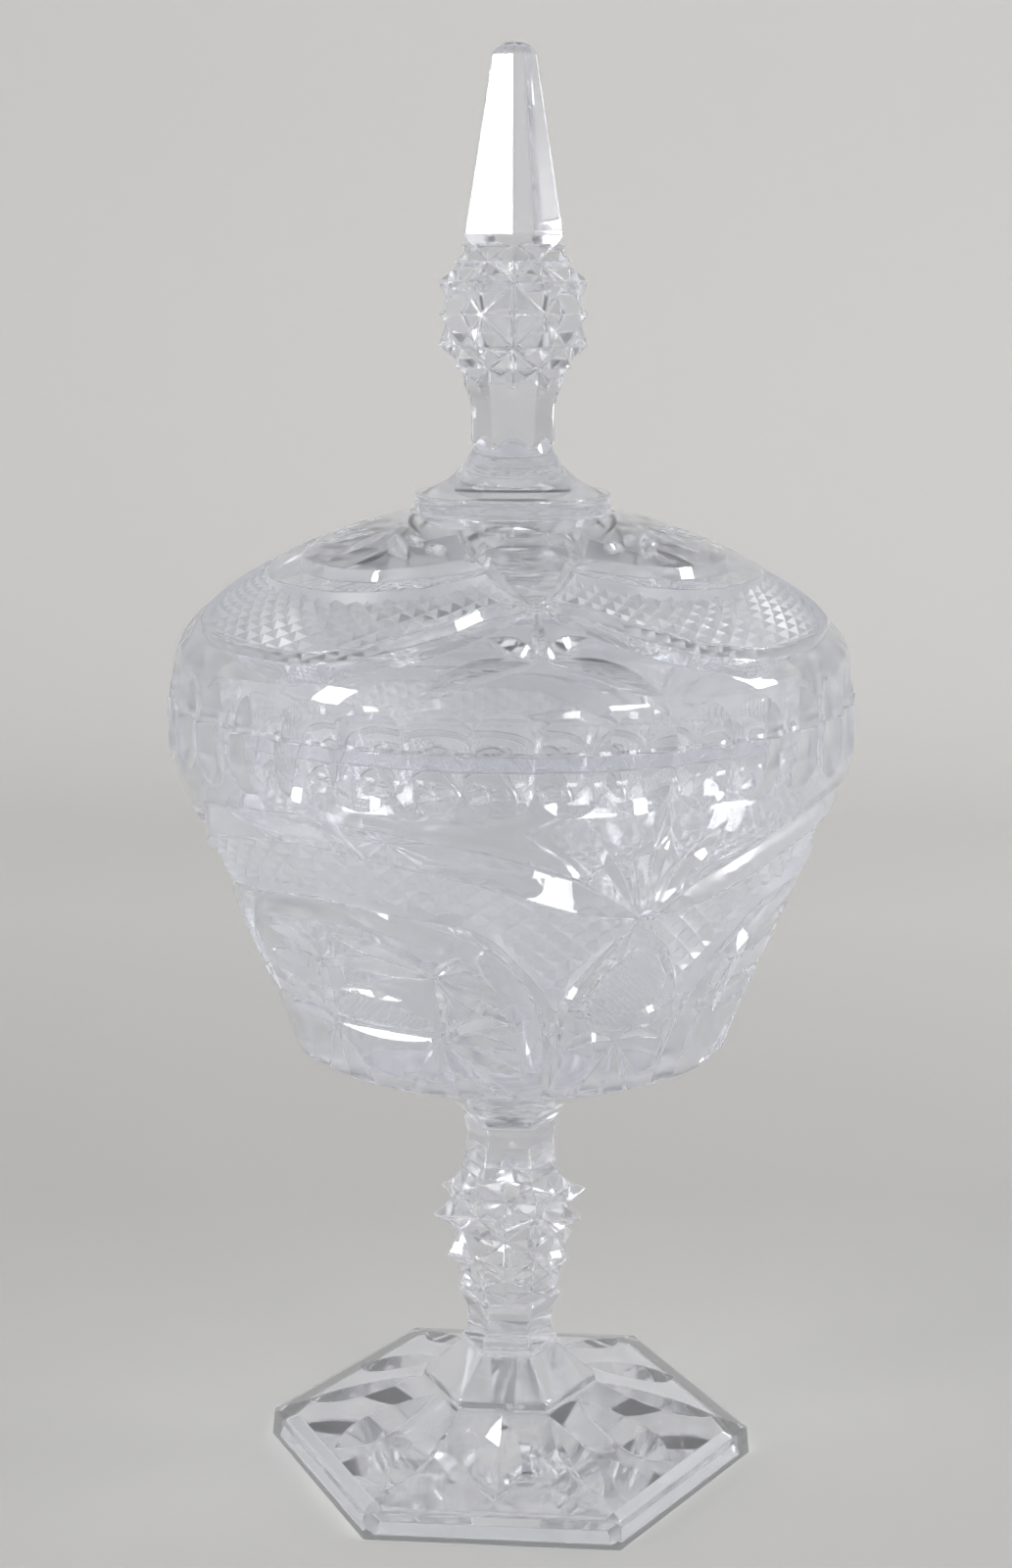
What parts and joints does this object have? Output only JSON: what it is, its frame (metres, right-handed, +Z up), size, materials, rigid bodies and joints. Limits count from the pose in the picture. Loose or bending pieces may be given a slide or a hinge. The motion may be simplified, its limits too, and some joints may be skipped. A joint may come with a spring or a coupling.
{
  "type": "covered compote",
  "caption": "Clear crystal footed bowl with a lift-off domed cover, hexagonal foot, knopped stem and spired finial, cut all over with bands, stars and diamonds.",
  "frame": {"origin": "centre of the foot's base, on the surface that the compote stands on", "axes": "+Z up through the finial; -Y is the front, where one side of the hexagonal foot faces the viewer, turned 4.6 degrees; +X to the right"},
  "size_m": [0.19, 0.1898, 0.4005],
  "materials": {
    "crystal": "polished colourless lead crystal with a faint cool tint in its thick edges"
  },
  "bodies": {
    "compote": {"foot": "crystal", "stem": "crystal", "bowl": "crystal"},
    "cover": {"lid": "crystal", "finial": "crystal"}
  },
  "joints": [
    {"name": "lid_lift", "type": "slide", "parent": "compote", "child": "cover", "axis": [0, 0, 1], "range_m": [0, 0.12]}
  ]
}
